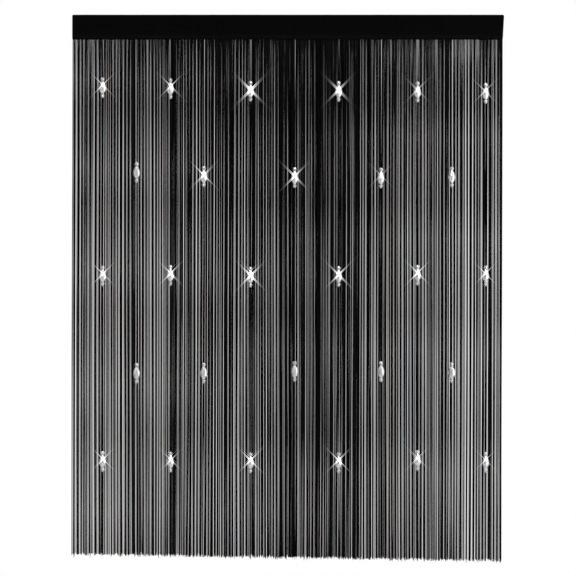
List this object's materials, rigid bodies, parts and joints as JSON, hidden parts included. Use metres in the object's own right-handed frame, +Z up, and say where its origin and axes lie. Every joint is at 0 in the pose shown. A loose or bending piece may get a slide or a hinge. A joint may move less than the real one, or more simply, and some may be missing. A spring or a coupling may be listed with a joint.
{
  "type": "bead curtain",
  "caption": "Flat string curtain with a plain cloth heading, hanging yarn strings and faceted clear bead drops, for a doorway or window",
  "frame": {"origin": "middle of the heading's top edge, halfway through the cloth", "axes": "+X to the viewer's right along the heading, -Y to the front, +Z up; the strings hang down -Z"},
  "size_m": [1.5956, 0.0308, 2.0138],
  "materials": {
    "heading_cloth": "matt black woven band",
    "string_yarn": "black yarn with a soft sheen",
    "clear_bead": "clear faceted bead with silvery highlights"
  },
  "bodies": {
    "root": {"heading": "heading_cloth", "strings": "string_yarn", "bead_drop_r1_c1": "clear_bead", "bead_drop_r1_c2": "clear_bead", "bead_drop_r1_c3": "clear_bead", "bead_drop_r1_c4": "clear_bead", "bead_drop_r1_c5": "clear_bead", "bead_drop_r1_c6": "clear_bead", "bead_drop_r2_c1": "clear_bead", "bead_drop_r2_c2": "clear_bead", "bead_drop_r2_c3": "clear_bead", "bead_drop_r2_c4": "clear_bead", "bead_drop_r2_c5": "clear_bead", "bead_drop_r3_c1": "clear_bead", "bead_drop_r3_c2": "clear_bead", "bead_drop_r3_c3": "clear_bead", "bead_drop_r3_c4": "clear_bead", "bead_drop_r3_c5": "clear_bead", "bead_drop_r3_c6": "clear_bead", "bead_drop_r4_c1": "clear_bead", "bead_drop_r4_c2": "clear_bead", "bead_drop_r4_c3": "clear_bead", "bead_drop_r4_c4": "clear_bead", "bead_drop_r4_c5": "clear_bead", "bead_drop_r5_c1": "clear_bead", "bead_drop_r5_c2": "clear_bead", "bead_drop_r5_c3": "clear_bead", "bead_drop_r5_c4": "clear_bead", "bead_drop_r5_c5": "clear_bead", "bead_drop_r5_c6": "clear_bead"}
  },
  "joints": []
}
